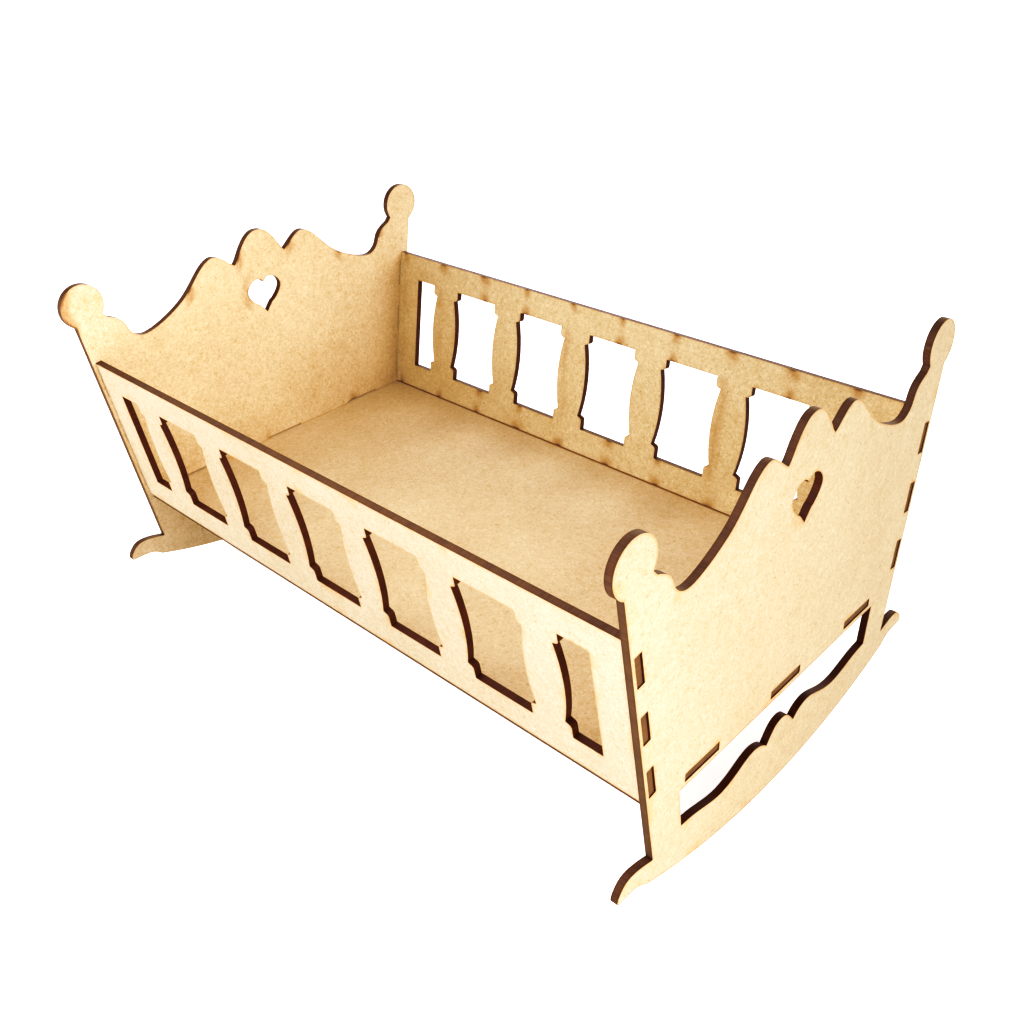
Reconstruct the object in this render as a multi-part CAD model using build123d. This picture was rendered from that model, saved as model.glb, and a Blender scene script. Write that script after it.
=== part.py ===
from build123d import *
import math
import os

# Doll cradle, in millimetres, cut from wood fibre board of one thickness: two end panels
# that stand on rockers, two side panels of flat balusters that lean outwards, and a floor.
# Every joint is a row of tabs in slots, so the cradle is five boards.
# X runs from the head end (-X) to the foot end (+X), Y runs across and Z is up.
# The origin is the middle of the cradle, on the level that the rockers stand on.

# Board and its joints
board_thickness = 3.0
slot_clearance = 0.1
slot_slack = 0.5
tab_recess = 0.4

# Bed
inner_length = 303.2
floor_top_height = 50.4
seam_gap = 0.2
side_foot_half_width = 83.7
floor_edge_inset = 1.7
side_lean_angle = 9.07
side_height = 75.6

# Tabs at each end of the floor and of a side panel
floor_tab_length = 20.1
floor_tab_spacing = 54.0
side_tab_length = 13.0
side_tab_spacing = 26.0
tabs_from_middle = [-1, 0, 1]

# Openings between the balusters of a side panel
baluster_count = 6
end_post_width = 15.0
end_post_lap = 0.9
lower_rail_width = 13.0
upper_rail_width = 13.0
throat_half_width = 13.8
belly_half_width = 16.4
waist_half_width = 14.15
lower_throat_height = 4.4
upper_throat_height = 3.5
cove_height = 2.1

# End panel: its straight edges, crest and knobs
total_height = 162.9
crest_rise = 32.0
edge_margin = 1.65
knob_radius = 10.25
knob_inset = 6.25

# Rocker and its flared toes
rocker_radius = 250.0
toe_root_height = 23.9
toe_height = 18.5
toe_reach = 19.2
heel_reach = 3.4

# Heart cut through the crest
heart_drop = 25.0
heart_height = 18.0
heart_half_width = 9.8

# Window under the floor
window_strip = 2.2
window_height = 22.2
leg_width = 17.3

# Crest from the top to the notch beside the middle lobe, and from the notch over the
# shoulder to the neck of the knob, as shares of the knob's half width and of the height
# from the valley to the top
lobe_shares = [(0.0, 1.0), (0.052, 0.953), (0.089, 0.847), (0.129, 0.67), (0.157, 0.556)]
shoulder_shares = [
    (0.157, 0.556),
    (0.21, 0.678),
    (0.283, 0.781),
    (0.317, 0.75),
    (0.363, 0.65),
    (0.414, 0.49),
    (0.467, 0.336),
    (0.577, 0.131),
    (0.681, 0.012),
    (0.734, 0.0),
    (0.791, 0.116),
    (0.821, 0.3),
    (0.886, 0.425),
    (0.915, 0.516),
]

# Upper edge of a toe from its root to its nose, as shares of its reach and of the drop
# from its root to its underside
toe_top_shares = [(0.0, 0.0), (0.21, 0.22), (0.55, 0.43), (0.78, 0.28), (0.93, -0.22), (1.0, -0.85)]

# Underside of a toe from its nose to the heel, as shares of the span between them
toe_sole_shares = [(0.95, 1.0), (0.6, 0.97), (0.3, 0.8), (0.0, 0.0)]

# Right half of the heart from the dip over the lobe to the tip, as shares of its size
heart_shares = [(0.0, 0.889), (0.51, 1.0), (1.0, 0.7), (0.84, 0.475), (0.5, 0.285), (0.0, 0.0)]

# Lower edge of the window from its corner to the notch, and over its middle lobe, as
# shares of the window's half width and height
window_wave_shares = [
    (0.966, 0.185),
    (0.818, 0.126),
    (0.61, 0.0),
    (0.446, 0.09),
    (0.268, 0.228),
    (0.144, 0.041),
]
window_lobe_shares = [(0.144, 0.041), (0.089, 0.243), (0.0, 0.365)]

side_lean = math.radians(side_lean_angle)
side_foot_height = floor_top_height + seam_gap
floor_half_width = side_foot_half_width - floor_edge_inset
tab_depth = board_thickness - tab_recess
slot_width = board_thickness + 2 * slot_clearance + slot_slack
knob_height = total_height - knob_radius
valley_height = total_height - crest_rise
window_top_height = floor_top_height - board_thickness - window_strip


def edge_half_width(height):
    """Half width of an end panel's straight edge, which runs parallel to a side panel."""
    rise = height - side_foot_height
    return side_foot_half_width + edge_margin + rise * math.tan(side_lean)


knob_half_width = edge_half_width(knob_height) - knob_inset
toe_root_half_width = edge_half_width(toe_root_height)


def scaled(shares, width, height, foot=0.0, inset=0.0):
    """Points of an outline from shares of a width and of a height."""
    return [(inset + width * across, foot + height * up) for across, up in shares]


def symmetric_face(half_curves):
    """Face between the curves of a right half, from axis to axis, and their mirror image."""
    half = Curve() + half_curves
    return make_face(half + mirror(half, about=Plane.YZ))


def crest_curves():
    """Middle lobe, notch, shoulder and valley, as far as the inside of the knob."""
    lobe = scaled(lobe_shares, knob_half_width, crest_rise, valley_height)
    shoulder = scaled(shoulder_shares, knob_half_width, crest_rise, valley_height)
    return [
        Spline(*lobe, tangents=[(1, 0), (1, -1)]),
        Spline(*shoulder, tangents=[(1, 0.6), (1, 1.2)]),
        Polyline(
            shoulder[-1],
            (knob_half_width, knob_height),
            (edge_half_width(knob_height), knob_height),
            (toe_root_half_width, toe_root_height),
        ),
    ]


def toe_curves():
    """Flared toe and the rocker's arc, from the straight edge to the lowest point."""
    heel_half_width = toe_root_half_width + heel_reach
    heel_angle = math.degrees(math.asin(heel_half_width / rocker_radius))
    heel_height = rocker_radius - math.sqrt(rocker_radius**2 - heel_half_width**2)
    drop = toe_root_height - toe_height
    top = scaled(toe_top_shares, toe_reach, drop, toe_root_height, toe_root_half_width)
    span = toe_reach - heel_reach
    lift = toe_height - heel_height
    sole = scaled(toe_sole_shares, span, lift, heel_height, heel_half_width)
    return [
        Spline(*top, tangents=[(1, 0.35), (0, -1)]),
        Spline(top[-1], sole[0], tangents=[(0, -1), (-1, 0)]),
        Spline(*sole, tangents=[(-1, 0), (-1, -1.2)]),
        CenterArc((0, rocker_radius), rocker_radius, 270 + heel_angle, -heel_angle),
    ]


def heart_face():
    tip_height = total_height - heart_drop - heart_height
    outline = scaled(heart_shares, heart_half_width, heart_height, tip_height)
    return symmetric_face([Spline(*outline, tangents=[(1, 1.6), (-1, -1.3)])])


def window_face():
    half_width = edge_half_width(window_top_height) - leg_width
    foot_height = window_top_height - window_height
    wave = scaled(window_wave_shares, half_width, window_height, foot_height)
    lobe = scaled(window_lobe_shares, half_width, window_height, foot_height)
    return symmetric_face([
        Polyline((0, window_top_height), (half_width, window_top_height), wave[0]),
        Spline(*wave, tangents=[(-1, -0.05), (-1, -1.2)]),
        Spline(*lobe, tangents=[(-1, 1.2), (-1, 0)]),
    ])


def side_tab_levels():
    """Middle of each tab of a side panel, measured up its lean from its foot."""
    return [side_height / 2 + side_tab_spacing * index for index in tabs_from_middle]


def slot_faces():
    """Slots of an end panel, which leave their slack above the floor and inside the sides."""
    floor_slot = Rectangle(floor_tab_length + 2 * slot_clearance, slot_width)
    side_slot = Rectangle(slot_width, side_tab_length + 2 * slot_clearance)
    floor_level = floor_top_height - board_thickness / 2 + slot_slack / 2
    depth = (board_thickness + slot_slack) / 2
    slots = [Pos(floor_tab_spacing * index, floor_level) * floor_slot for index in tabs_from_middle]
    for level in side_tab_levels():
        across = side_foot_half_width + level * math.sin(side_lean)
        across -= depth * math.cos(side_lean)
        height = side_foot_height + level * math.cos(side_lean)
        height += depth * math.sin(side_lean)
        for side in (-1, 1):
            place = Pos(side * across, height) * Rot(0, 0, -side * side_lean_angle)
            slots.append(place * side_slot)
    return slots


def end_panel(inner_face_x, outward):
    """End panel whose inner face is at the given X and whose outer face looks outward."""
    knob = Circle(knob_radius)
    outline = symmetric_face(crest_curves() + toe_curves())
    outline += [Pos(side * knob_half_width, knob_height) * knob for side in (-1, 1)]
    outline -= [heart_face(), window_face()] + slot_faces()
    return extrude(Plane.YZ.offset(inner_face_x) * outline, outward * board_thickness)


def opening_face():
    """Opening between two balusters, which swell at its throats and slim at its waist."""
    low = lower_rail_width
    high = side_height - upper_rail_width
    low_belly = low + lower_throat_height + cove_height
    high_belly = high - upper_throat_height - cove_height
    low_throat = (throat_half_width, low + lower_throat_height)
    high_throat = (throat_half_width, high - upper_throat_height)
    waist = (waist_half_width, (low_belly + high_belly) / 2)
    return symmetric_face([
        Polyline((0, high), (throat_half_width, high), high_throat),
        Spline(high_throat, (belly_half_width, high_belly), tangents=[(0, -1), (1, -0.4)]),
        ThreePointArc((belly_half_width, high_belly), waist, (belly_half_width, low_belly)),
        Spline((belly_half_width, low_belly), low_throat, tangents=[(-1, -0.4), (0, -1)]),
        Polyline(low_throat, (throat_half_width, low), (0, low)),
    ])


def side_panel(side):
    """Side panel with the baluster openings, at -Y for side -1 and at +Y for side 1."""
    opening_span = inner_length - 2 * end_post_width
    baluster_pitch = (opening_span + 2 * end_post_lap) / baluster_count
    blank = Pos(0, side_height / 2) * Rectangle(inner_length, side_height)
    tabs = Rectangle(inner_length + 2 * tab_depth, side_tab_length)
    blank += [Pos(0, level) * tabs for level in side_tab_levels()]
    opening = opening_face()
    first = -baluster_count / 2 * baluster_pitch
    openings = Sketch() + [
        Pos(first + baluster_pitch * index, 0) * opening for index in range(baluster_count + 1)
    ]
    openings &= Pos(0, side_height / 2) * Rectangle(opening_span, side_height)
    outer_face = Plane(
        origin=(0, side * side_foot_half_width, side_foot_height),
        x_dir=(-side, 0, 0),
        z_dir=(0, side * math.cos(side_lean), -math.sin(side_lean)),
    )
    return extrude(outer_face * (blank - openings), -board_thickness)


def floor_panel():
    board = Rectangle(inner_length, 2 * floor_half_width)
    tabs = Rectangle(inner_length + 2 * tab_depth, floor_tab_length)
    board += [Pos(0, floor_tab_spacing * index) * tabs for index in tabs_from_middle]
    return extrude(Pos(0, 0, floor_top_height) * board, -board_thickness)


parts = {
    "head_panel": end_panel(-inner_length / 2, -1),
    "foot_panel": end_panel(inner_length / 2, 1),
    "front_side_panel": side_panel(-1),
    "back_side_panel": side_panel(1),
    "floor_panel": floor_panel(),
}

os.makedirs("parts", exist_ok=True)
for name, solid in parts.items():
    export_step(solid, f"parts/{name}.step")
    print(name, round(solid.volume), "mm3", solid.bounding_box())
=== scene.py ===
import bpy
import math
from mathutils import Matrix, Vector

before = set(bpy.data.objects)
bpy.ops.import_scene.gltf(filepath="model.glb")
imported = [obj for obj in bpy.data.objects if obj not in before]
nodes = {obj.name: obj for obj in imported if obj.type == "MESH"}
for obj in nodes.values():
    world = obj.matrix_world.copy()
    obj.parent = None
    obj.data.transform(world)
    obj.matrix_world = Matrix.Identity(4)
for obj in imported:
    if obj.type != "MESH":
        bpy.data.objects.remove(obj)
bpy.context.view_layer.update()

# Doll cradle of laser-cut wood fibre board. Lengths are in metres, in the frame of the CAD
# model: +X from the head end to the foot end, +Y across to the back side panel, +Z up. The
# side panels lean outwards.
mm = 0.001
x_axis = (1.0, 0.0, 0.0)
y_axis = (0.0, 1.0, 0.0)
z_axis = (0.0, 0.0, 1.0)
side_lean = math.radians(9.07)

# Camera: its place, the way that it looks, and its lens
camera_place = Vector((0.303575, -0.297680, 0.330853))
camera_azimuth = math.radians(45.068)
camera_elevation = math.radians(29.517)
camera_roll = math.radians(-2.698)
image_size = 1024
focal_pixels = 1109.61
centre_pixel = (491.54, 454.95)
sensor_width = 36.0

# Colours of the board's faces, of the marks on them and of its cut edges. The outer faces' colours
# are paler and less yellow than the inner faces': painted light, the whitening of brightly lit faces.
outer_light = (0.69, 0.55, 0.39)
inner_light = (0.74, 0.585, 0.36)
outer_shade = (0.50, 0.345, 0.205)
inner_shade = (0.48, 0.33, 0.16)
speck_colour = (0.22, 0.11, 0.04)
toast_colour = (0.50, 0.24, 0.055)
lip_colour = (0.26, 0.10, 0.03)
scorch_colour = (0.30, 0.11, 0.018)
soot_colour = (0.085, 0.026, 0.008)
flare_colour = (0.56, 0.26, 0.05)
burnt_light = (0.133, 0.074, 0.046)
burnt_shade = (0.082, 0.040, 0.022)
# Charred walls: in openings and cut-outs their darkness is partly painted shade in the recesses
char_and_shade_light = (0.085, 0.023, 0.007)
char_and_shade_dark = (0.040, 0.009, 0.0025)
tab_end_light = (0.195, 0.106, 0.056)
tab_end_shade = (0.11, 0.054, 0.026)
border_colour = (0.052, 0.021, 0.009)

# Painted light and shade, board by board: the tints darken each outer face and lighten each inner face,
# by how brightly each side is lit. Outer face, then inner face
head_painted_light_tints = ((0.93, 0.96, 0.92), (1.01, 1.02, 1.09))
foot_painted_light_tints = ((0.915, 0.94, 0.87), (1.01, 1.02, 1.09))
front_painted_light_tints = ((0.91, 0.96, 0.95), (1.01, 1.04, 1.12))
back_painted_light_tints = ((0.93, 0.96, 0.92), (1.0, 1.065, 1.15))
floor_painted_light_tints = ((0.98, 0.99, 0.91), (0.98, 0.99, 0.91))

# Below, a band is the value at which a step is 0 and the one at which it is 1, and a pair of
# strengths is that on an outer face and that on an inner face.

# A point is on a face or on a wall, and a face is an inner or an outer one, by the cosine
# between its normal and the board's
face_band = (0.4, 0.6)
inward_band = (-0.5, 0.5)

# Texture of the faces: clouds, mottling, short curled fibres, grain and dark specks
cloud_size = 40 * mm
mottle_size = 6 * mm
fibre_size = 1.6 * mm
grain_size = 0.5 * mm
speck_size = 1.1 * mm
mean_tone = 0.55
cloud_strength = 0.5
mottle_strengths = (0.4, 0.5)
fibre_strength = 2.0
grain_strength = 0.5
speck_band = (0.69, 0.76)
speck_strength = 0.45

# Reach of the toasted rim beside a cut and of the marks around it, and 1 minus the cosine of
# the turn that a bevel gives the normal right on an edge
rim_reach = 2.4 * mm
rim_samples = 6
mark_reach = 12.0 * mm
mark_samples = 8
edge_turn = 0.29

# Toasted rim beside a cut, with its ragged outline, and its dark lip
toast_band = (0.05, 0.8)
toast_strengths = (0.45, 0.05)
ragged_size = 4 * mm
ragged_band = (0.2, 0.7)
ragged_strength = 0.3
lip_band = (0.65, 0.95)
lip_strengths = (0.2, 0.3)

# Bars of the cutter's bed, which left scorch marks where a cut crossed them on the face that
# lay on them. They marked a board as far out as bar_span, and its knobs above knob_low.
bar_pitch = 30.2 * mm
side_bar_offset = 4.5 * mm
side_bar_span = 150.0 * mm
end_bar_offset = -12.0 * mm
end_bar_span = 72.0 * mm
bar_fade = 3 * mm
knob_low = 138.0 * mm
wander_size = 12 * mm
wander_width = 8 * mm
mark_size = 22 * mm
mark_band = (0.1, 0.45)
scorch_band = (5 * mm, 0.0)
scorch_reach_band = (0.05, 0.7)
scorch_strength = 0.65
soot_band = (2.4 * mm, 0.5 * mm)
soot_reach_band = (0.05, 0.4)
soot_strength = 0.9

# Amber flares where the beam paused
pause_size = 13 * mm
pause_band = (0.57, 0.72)
flare_reach_band = (0.35, 0.9)
flare_strengths = (0.38, 0.08)

# Brown band on the floor where a side panel stands beside it, by the distance from the middle: partly
# the floor's toasted rim, partly painted shade in the narrow gap under the panel
gap_toast_and_shade_band = (80.0 * mm, 80.8 * mm)
gap_toast_and_shade_strength = 0.85

# Cut edges: the fine lines that the beam left across them, patches of soot, and a dark border
line_size = 0.6 * mm
patch_size = 7 * mm
burn_band = (0.3, 0.7)
line_strength = 0.5
patch_strength = 0.5
border_band = (0.3, 0.85)
border_strength = 0.6
tab_end_start = 152.2 * mm

# The beam charred the openings of a side panel, between two heights, and they are painted darker as
# shade in these recesses. In an end panel the same goes for the heart, the window and the slots,
# which lie above one height, below a line that falls towards the knobs, and inside a line that runs
# up beside the straight edge. It charred the curves of an end panel and the long edges of a side panel
# less.
opening_low = 56 * mm
opening_high = 122 * mm
window_low = 22 * mm
crest_line_fall = 0.2
crest_line_height = 140.5 * mm
edge_line_half_width = 76.4 * mm
straight_cosine = 0.999
curve_char = 0.35
long_edge_char = 0.3

# Relief and sheen
fibre_relief = 0.6
grain_relief = 0.5
line_relief = 1.6
relief_strength = 0.5
relief_depth = 0.08 * mm
wall_roughness = 0.5
face_roughness = 0.62
relief_roughness = 0.1
specular_level = 0.15

# Light: broad lamps far away, each with its azimuth, its elevation and its strength, and
# small lamps near the cradle, each with its place and its power
far_lamps = {"right_lamp": (35, 26, 3.75), "top_lamp": (225, 60, 1.45), "back_lamp": (135, 8, 4.8)}
far_lamp_spread = math.radians(60)
near_lamps = {
    "foot_lamp": (Vector((0.32, -0.28, 0.12)), 1.15),
    "bed_lamp": (Vector((0.03, -0.14, 0.28)), 0.60),
    "side_lamp": (Vector((-0.31, -0.31, 0.20)), 1.25),
}
near_lamp_size = 0.2
aim_height = 0.08

# Studio floor: it glows a little, as a light table does, so that shadows stay faint, and the
# camera sees it brighter still. Under the bed it throws no light back, so that the inner
# faces of the rockers stay in shade.
floor_size = 12.0
floor_colour = (0.75, 0.75, 0.75)
floor_roughness = 0.9
floor_glow = 0.42
floor_bloom = 0.45
shade_half_length = 150 * mm
shade_half_width = 90 * mm
shade_softness = 20 * mm
backdrop_glow = 2.0

# Tone of the photograph: its contrast, how far its bright faces are pushed to white, and how
# it lowers green and blue in the darker tones and raises blue in the brighter ones
contrast = 1.6
gain = 1.32
tone_shares = [0.0, 0.05, 0.1, 0.17, 0.26, 0.38, 0.52, 0.68, 0.84, 1.0]
green_shares = [(0.1, 0.092), (0.3, 0.268), (0.49, 0.463), (0.6, 0.593), (0.8, 0.805)]
blue_shares = [
    (0.07, 0.06),
    (0.14, 0.092),
    (0.27, 0.24),
    (0.36, 0.365),
    (0.47, 0.485),
    (0.6, 0.645),
    (0.76, 0.81),
]


class Shader:
    """Node tree of one material, with short calls for the nodes that it is made of."""

    def __init__(self, name):
        self.material = bpy.data.materials.new(name)
        self.material.use_nodes = True
        self.tree = self.material.node_tree
        self.tree.nodes.clear()
        self.output = self.tree.nodes.new("ShaderNodeOutputMaterial")
        self.place = self.tree.nodes.new("ShaderNodeTexCoord").outputs["Object"]

    def feed(self, socket, value):
        """Link an input to another node's output, or set it."""
        if isinstance(value, bpy.types.NodeSocket):
            self.tree.links.new(value, socket)
        else:
            socket.default_value = value

    def node(self, kind, inputs, **settings):
        made = self.tree.nodes.new(kind)
        for key, value in settings.items():
            setattr(made, key, value)
        for key, value in inputs.items():
            self.feed(made.inputs[key], value)
        return made

    def math(self, operation, *values, clamp=False):
        inputs = dict(enumerate(values))
        return self.node("ShaderNodeMath", inputs, operation=operation, use_clamp=clamp).outputs[0]

    def product(self, first, *others):
        for other in others:
            first = self.math("MULTIPLY", first, other)
        return first

    def between(self, share, first, second):
        """The first value where the share is 0, and the second where it is 1."""
        return self.math("MULTIPLY_ADD", share, second - first, first)

    def sway(self, noise, strength, middle, clamp=False):
        """The middle value, raised and lowered by noise about its mean."""
        return self.math("MULTIPLY_ADD", self.math("SUBTRACT", noise, 0.5), strength, middle, clamp=clamp)

    def vector(self, operation, *values):
        inputs = dict(enumerate(values))
        return self.node("ShaderNodeVectorMath", inputs, operation=operation).outputs["Vector"]

    def along(self, vector, axis):
        """How far a vector reaches along an axis."""
        inputs = {0: vector, 1: axis}
        return self.node("ShaderNodeVectorMath", inputs, operation="DOT_PRODUCT").outputs["Value"]

    def distance(self, axis):
        """How far the place lies from the middle along an axis, on either side."""
        return self.math("ABSOLUTE", self.along(self.place, axis))

    def blend(self, share, first, second, kind="MIX"):
        """The first colour where the share is 0, and the second, or its effect, where it is 1."""
        made = self.tree.nodes.new("ShaderNodeMix")
        made.data_type = "RGBA"
        made.blend_type = kind
        share_socket = next(s for s in made.inputs if s.name == "Factor" and s.type == "VALUE")
        colour_sockets = [s for s in made.inputs if s.type == "RGBA"]
        self.feed(share_socket, share)
        for socket, colour in zip(colour_sockets, (first, second)):
            opaque = colour if isinstance(colour, bpy.types.NodeSocket) else (*colour, 1.0)
            self.feed(socket, opaque)
        return next(s for s in made.outputs if s.type == "RGBA")

    def step(self, value, low, high):
        """0 below low, 1 above high and a smooth rise between them. It falls where low is above high."""
        inputs = {"Value": value, "From Min": low, "From Max": high}
        made = self.node("ShaderNodeMapRange", inputs, interpolation_type="SMOOTHSTEP")
        return made.outputs["Result"]

    def noise(self, feature, detail=1.0, roughness=0.5, distortion=0.0, place=None):
        """Noise with features of the given size."""
        inputs = {
            "Vector": self.place if place is None else place,
            "Scale": 1.0 / feature,
            "Detail": detail,
            "Roughness": roughness,
            "Distortion": distortion,
        }
        return self.node("ShaderNodeTexNoise", inputs).outputs["Fac"]


class BoardShader(Shader):
    """Material of one board. Its faces look along face_normal or against it, and the inner
    one, which lay on the cutter's bed, looks along face_normal times inner_side."""

    def __init__(self, name, face_normal, inner_side):
        super().__init__(name)
        self.face_normal = face_normal
        self.true_normal = self.tree.nodes.new("ShaderNodeNewGeometry").outputs["True Normal"]
        facing = self.along(self.true_normal, face_normal)
        self.on_face = self.step(self.math("ABSOLUTE", facing), *face_band)
        self.inward = self.step(self.math("MULTIPLY", facing, inner_side), *inward_band)
        self.rim = self.edge(rim_reach, rim_samples)
        self.near = self.edge(mark_reach, mark_samples)

    def edge(self, reach, samples):
        """1 beside the board's edges, and 0 from the given reach on."""
        bevel = self.node("ShaderNodeBevel", {"Radius": reach}, samples=samples)
        turn = self.math("SUBTRACT", 1.0, self.along(bevel.outputs[0], self.true_normal))
        return self.math("DIVIDE", turn, edge_turn, clamp=True)


def side_char_and_shade(shader):
    """1 on the walls of a side panel's openings, which are charred and painted darker as shade in
    these recesses, and less on its other cut edges, which the beam charred less."""
    height = shader.along(shader.place, z_axis)
    # The openings' walls are charred, and painted darker as shade in these recesses
    above = shader.math("GREATER_THAN", height, opening_low)
    inside = shader.product(above, shader.math("LESS_THAN", height, opening_high))
    return shader.math("MAXIMUM", inside, long_edge_char)


def end_char_and_shade(shader):
    """1 on the walls of an end panel's cut-outs, 0 on its straight edges and in between on
    its curves. On the cut-outs it is partly char and partly painted shade in these recesses; on the
    curves it is char."""
    mirrored = shader.vector("ABSOLUTE", shader.place)
    crest_line = shader.along(mirrored, (0.0, crest_line_fall, 1.0))
    edge_line = shader.along(mirrored, (0.0, 1.0, -math.tan(side_lean)))
    # The cut-outs' walls are charred, and painted darker as shade in these recesses
    inside = shader.product(
        shader.math("GREATER_THAN", shader.along(mirrored, z_axis), window_low),
        shader.math("LESS_THAN", crest_line, crest_line_height),
        shader.math("LESS_THAN", edge_line, edge_line_half_width),
    )
    straight_normal = (0.0, math.cos(side_lean), math.sin(side_lean))
    turned = shader.along(shader.vector("ABSOLUTE", shader.true_normal), straight_normal)
    curved = shader.math("LESS_THAN", turned, straight_cosine)
    return shader.math("MAXIMUM", inside, shader.product(curved, curve_char))


def floor_char(shader):
    """0: the floor's edges are as pale as a cut leaves them."""
    return 0.0


def bare_faces(shader, fibres, grain, painted_light_tints):
    """Colour of a board's faces before the laser marked them."""
    clouds = shader.noise(cloud_size, detail=3.0)
    mottle = shader.noise(mottle_size, detail=3.0, roughness=0.6)
    mottling = shader.between(shader.inward, *mottle_strengths)
    tone = shader.sway(clouds, cloud_strength, mean_tone)
    tone = shader.sway(mottle, mottling, tone)
    tone = shader.sway(fibres, fibre_strength, tone)
    tone = shader.sway(grain, grain_strength, tone, clamp=True)
    # Painted light: the outer faces get the paler, less yellow palette of brightly lit faces
    light = shader.blend(shader.inward, outer_light, inner_light)
    dark = shader.blend(shader.inward, outer_shade, inner_shade)
    # Painted light and shade: the tint darkens an outer face and lightens an inner one, by how brightly
    # each side is lit
    painted_light_tint = shader.blend(shader.inward, *painted_light_tints)
    face = shader.blend(1.0, shader.blend(tone, dark, light), painted_light_tint, "MULTIPLY")
    specks = shader.step(shader.noise(speck_size), *speck_band)
    return shader.blend(shader.product(specks, speck_strength), face, speck_colour)


def toasted(shader, face):
    """A face with a toasted rim beside every cut."""
    ragged = shader.step(shader.noise(ragged_size, detail=2.0), *ragged_band)
    toasting = shader.between(shader.inward, *toast_strengths)
    toasting = shader.math("MULTIPLY_ADD", ragged, ragged_strength, toasting)
    toast = shader.product(shader.step(shader.rim, *toast_band), toasting)
    face = shader.blend(toast, face, toast_colour)
    lip = shader.product(
        shader.step(shader.rim, *lip_band),
        shader.between(shader.inward, *lip_strengths),
    )
    return shader.blend(lip, face, lip_colour)


def scorched(shader, face, bar_axis, bar_offset, bar_span):
    """A face with scorch marks, sooty in their middle, where a bar crossed a cut."""
    spanned = shader.step(shader.distance(bar_axis), bar_span, bar_span - bar_fade)
    on_knob = shader.math("GREATER_THAN", shader.along(shader.place, z_axis), knob_low)
    strength = shader.product(
        shader.step(shader.noise(mark_size), *mark_band),
        shader.math("MAXIMUM", spanned, on_knob),
        shader.inward,
    )
    from_bar = shader.math("SUBTRACT", shader.along(shader.place, bar_axis), bar_offset)
    from_bar = shader.sway(shader.noise(wander_size), wander_width, from_bar)
    beside = shader.math("PINGPONG", from_bar, bar_pitch / 2)
    scorch = shader.product(
        shader.step(beside, *scorch_band),
        shader.step(shader.near, *scorch_reach_band),
        strength,
        scorch_strength,
    )
    soot = shader.product(
        shader.step(beside, *soot_band),
        shader.step(shader.rim, *soot_reach_band),
        strength,
        soot_strength,
    )
    face = shader.blend(scorch, face, scorch_colour)
    return shader.blend(soot, face, soot_colour)


def flared(shader, face):
    """A face with amber flares where the beam paused."""
    flare = shader.product(
        shader.step(shader.near, *flare_reach_band),
        shader.step(shader.noise(pause_size), *pause_band),
        shader.between(shader.inward, *flare_strengths),
    )
    return shader.blend(flare, face, flare_colour)


def board_walls(shader, charred_and_shaded, has_tabs):
    """Colour of a board's cut edges, and the fine lines that the beam left across them."""
    depth = shader.along(shader.place, shader.face_normal)
    inputs = {0: shader.face_normal, "Scale": depth}
    across = shader.node("ShaderNodeVectorMath", inputs, operation="SCALE").outputs["Vector"]
    flat_place = shader.vector("SUBTRACT", shader.place, across)
    lines = shader.noise(line_size, detail=2.0, roughness=0.7, place=flat_place)
    patches = shader.noise(patch_size, detail=3.0, roughness=0.6)
    soot = shader.product(shader.step(patches, *burn_band), patch_strength)
    soot = shader.math("MULTIPLY_ADD", shader.step(lines, *burn_band), line_strength, soot)
    burnt = shader.blend(soot, burnt_light, burnt_shade)
    # The darker charred colour is partly painted shade, in the openings and cut-outs
    char_and_shade = shader.blend(soot, char_and_shade_light, char_and_shade_dark)
    wall = shader.blend(charred_and_shaded(shader), burnt, char_and_shade)
    if has_tabs:
        on_tab_end = shader.math("GREATER_THAN", shader.distance(x_axis), tab_end_start)
        wall = shader.blend(on_tab_end, wall, shader.blend(soot, tab_end_light, tab_end_shade))
    border = shader.product(shader.step(shader.rim, *border_band), border_strength)
    return shader.blend(border, wall, border_colour), lines


def board_material(name, face_normal, inner_side, bars, painted_light_tints, charred_and_shaded, has_tabs, has_gap_toast_and_shade=False):
    """Fibre board with faces and cut edges. The bars are those of the cutter's bed: the axis
    along which they follow each other, their offset from the middle and their span."""
    shader = BoardShader(name, face_normal, inner_side)
    fibres = shader.noise(fibre_size, detail=4.0, roughness=0.7, distortion=1.2)
    grain = shader.noise(grain_size)
    face = bare_faces(shader, fibres, grain, painted_light_tints)
    face = toasted(shader, face)
    face = scorched(shader, face, *bars)
    face = flared(shader, face)
    # Painted shade, partly a toasted rim: a brown band along the floor where a side panel stands on it
    if has_gap_toast_and_shade:
        gap_toast_and_shade = shader.product(shader.step(shader.distance(y_axis), *gap_toast_and_shade_band), gap_toast_and_shade_strength)
        face = shader.blend(gap_toast_and_shade, face, scorch_colour)
    wall, lines = board_walls(shader, charred_and_shaded, has_tabs)

    relief = shader.math("MULTIPLY_ADD", fibres, fibre_relief, shader.product(grain, grain_relief))
    off_face = shader.math("SUBTRACT", 1.0, shader.on_face)
    height = shader.product(relief, shader.on_face)
    height = shader.math("MULTIPLY_ADD", shader.product(lines, line_relief), off_face, height)
    bump = shader.node("ShaderNodeBump", {
        "Height": height,
        "Strength": relief_strength,
        "Distance": relief_depth,
    })
    roughness = shader.between(shader.on_face, wall_roughness, face_roughness)
    surface = shader.node("ShaderNodeBsdfPrincipled", {
        "Base Color": shader.blend(shader.on_face, wall, face),
        "Roughness": shader.math("MULTIPLY_ADD", relief, relief_roughness, roughness),
        "Normal": bump.outputs["Normal"],
        "Specular IOR Level": specular_level,
    })
    shader.tree.links.new(surface.outputs[0], shader.output.inputs["Surface"])
    return shader.material


def dress(node, material):
    mesh = nodes[node].data
    mesh.materials.clear()
    mesh.materials.append(material)


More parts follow.
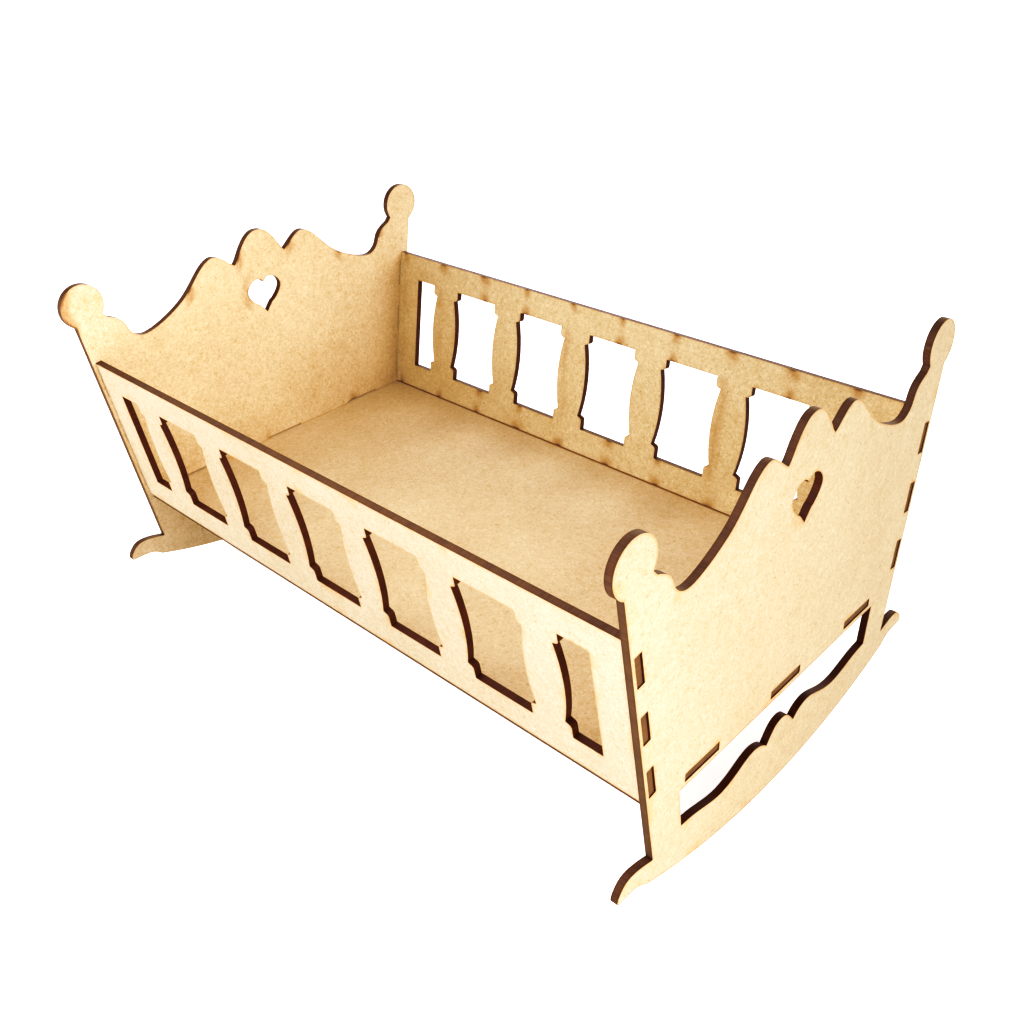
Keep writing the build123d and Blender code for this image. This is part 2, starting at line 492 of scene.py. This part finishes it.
def dress_boards():
    """Each board gets a material for the way that its faces look."""
    leaning_out = (0.0, math.cos(side_lean), -math.sin(side_lean))
    leaning_in = (0.0, math.cos(side_lean), math.sin(side_lean))
    end_bars = (y_axis, end_bar_offset, end_bar_span)
    side_bars = (x_axis, side_bar_offset, side_bar_span)

    # Material, way that the faces look, side of the inner face, bars, tints of painted light and shade,
    # walls, charred and painted with shade in their openings, and whether the board has tabs and a brown
    # band, partly painted shade, beside the side panels
    boards = {
        "head_panel": ("head_board", x_axis, 1.0, end_bars, head_painted_light_tints, end_char_and_shade, False),
        "foot_panel": ("foot_board", x_axis, -1.0, end_bars, foot_painted_light_tints, end_char_and_shade, False),
        "front_side_panel": ("front_board", leaning_in, 1.0, side_bars, front_painted_light_tints, side_char_and_shade, True),
        "back_side_panel": ("back_board", leaning_out, -1.0, side_bars, back_painted_light_tints, side_char_and_shade, True),
        "floor_panel": ("floor_board", z_axis, -1.0, side_bars, floor_painted_light_tints, floor_char, True, True),
    }
    for node, settings in boards.items():
        dress(node, board_material(*settings))


def make_floor():
    """Pale studio floor under the rockers."""
    mesh = bpy.data.meshes.new("studio_floor")
    half = floor_size / 2
    corners = [(-half, -half, 0), (half, -half, 0), (half, half, 0), (-half, half, 0)]
    mesh.from_pydata(corners, [], [(0, 1, 2, 3)])
    floor = bpy.data.objects.new("studio_floor", mesh)
    bpy.context.scene.collection.objects.link(floor)
    shader = Shader("pale_floor")
    seen = shader.tree.nodes.new("ShaderNodeLightPath").outputs["Is Camera Ray"]
    beyond_bed = shader.math(
        "MAXIMUM",
        shader.step(shader.distance(x_axis), shade_half_length - shade_softness, shade_half_length),
        shader.step(shader.distance(y_axis), shade_half_width - shade_softness, shade_half_width),
    )
    lit = shader.math("MAXIMUM", seen, beyond_bed)
    glow = shader.product(lit, floor_glow)
    surface = shader.node("ShaderNodeBsdfPrincipled", {
        "Base Color": shader.blend(lit, (0.0, 0.0, 0.0), floor_colour),
        "Roughness": floor_roughness,
        "Emission Color": (1.0, 1.0, 1.0, 1.0),
        "Emission Strength": shader.math("MULTIPLY_ADD", seen, floor_bloom, glow),
    })
    shader.tree.links.new(surface.outputs[0], shader.output.inputs["Surface"])
    mesh.materials.append(shader.material)


def add_lamp(name, kind, place, power):
    """A lamp at a place, or in a sun's direction, that shines at the middle of the cradle."""
    light = bpy.data.lights.new(name, kind)
    light.energy = power
    lamp = bpy.data.objects.new(name, light)
    aim = Vector((0.0, 0.0, aim_height)) - place
    turn = aim.to_track_quat("-Z", "Y").to_matrix()
    lamp.matrix_world = Matrix.Translation(place) @ turn.to_4x4()
    lamp.visible_camera = False
    bpy.context.scene.collection.objects.link(lamp)
    return light


def make_light():
    """Soft studio light, and white surroundings that give off none of it."""
    world = bpy.data.worlds.new("studio")
    world.use_nodes = True
    background = world.node_tree.nodes["Background"]
    background.inputs["Color"].default_value = (1.0, 1.0, 1.0, 1.0)
    background.inputs["Strength"].default_value = backdrop_glow
    bpy.context.scene.world = world
    for ray in ("diffuse", "glossy", "transmission", "scatter"):
        setattr(world.cycles_visibility, ray, False)
    for name, (azimuth, elevation, power) in far_lamps.items():
        turn = math.radians(azimuth)
        rise = math.radians(elevation)
        level = math.cos(rise)
        out = Vector((level * math.cos(turn), level * math.sin(turn), math.sin(rise)))
        add_lamp(name, "SUN", Vector((0.0, 0.0, aim_height)) + out, power).angle = far_lamp_spread
    for name, (place, power) in near_lamps.items():
        add_lamp(name, "AREA", place, power).size = near_lamp_size


def set_tone():
    """Photographic contrast that turns the brightest faces white."""
    view = bpy.context.scene.view_settings
    view.view_transform = "Standard"
    view.gamma = 1 / contrast
    view.use_curve_mapping = True
    tone_white = (-math.log(1 - 1 / gain)) ** (1 / contrast)
    mapping = view.curve_mapping
    mapping.white_level = (tone_white, tone_white, tone_white)
    mapping.extend = "HORIZONTAL"
    green, blue, combined = mapping.curves[1:]
    for share in tone_shares[1:-1]:
        combined.points.new(share, share)
    for point, share in zip(combined.points, tone_shares):
        bright = tone_white * share
        point.location = (share, (gain * (1 - math.exp(-bright**contrast))) ** (1 / contrast))
    for channel, shares in ((green, green_shares), (blue, blue_shares)):
        for share, level in shares:
            channel.points.new(share, level)
    mapping.update()


def make_camera():
    """Camera at the photograph's viewing angle, with the same framing."""
    level = math.cos(camera_elevation)
    forward = Vector((
        -math.sin(camera_azimuth) * level,
        math.cos(camera_azimuth) * level,
        -math.sin(camera_elevation),
    ))
    right = forward.cross(Vector(z_axis)).normalized()
    up = right.cross(forward)
    tilted_right = math.cos(camera_roll) * right + math.sin(camera_roll) * up
    tilted_up = math.cos(camera_roll) * up - math.sin(camera_roll) * right
    turn = Matrix((tilted_right, tilted_up, -forward)).transposed()
    lens = bpy.data.cameras.new("camera")
    lens.sensor_width = sensor_width
    lens.lens = focal_pixels * sensor_width / image_size
    lens.shift_x = (image_size / 2 - centre_pixel[0]) / image_size
    lens.shift_y = (centre_pixel[1] - image_size / 2) / image_size
    lens.clip_start = 10 * mm
    camera = bpy.data.objects.new("camera", lens)
    camera.matrix_world = Matrix.Translation(camera_place) @ turn.to_4x4()
    bpy.context.scene.collection.objects.link(camera)
    bpy.context.scene.camera = camera


dress_boards()
make_floor()
make_light()
make_camera()
set_tone()
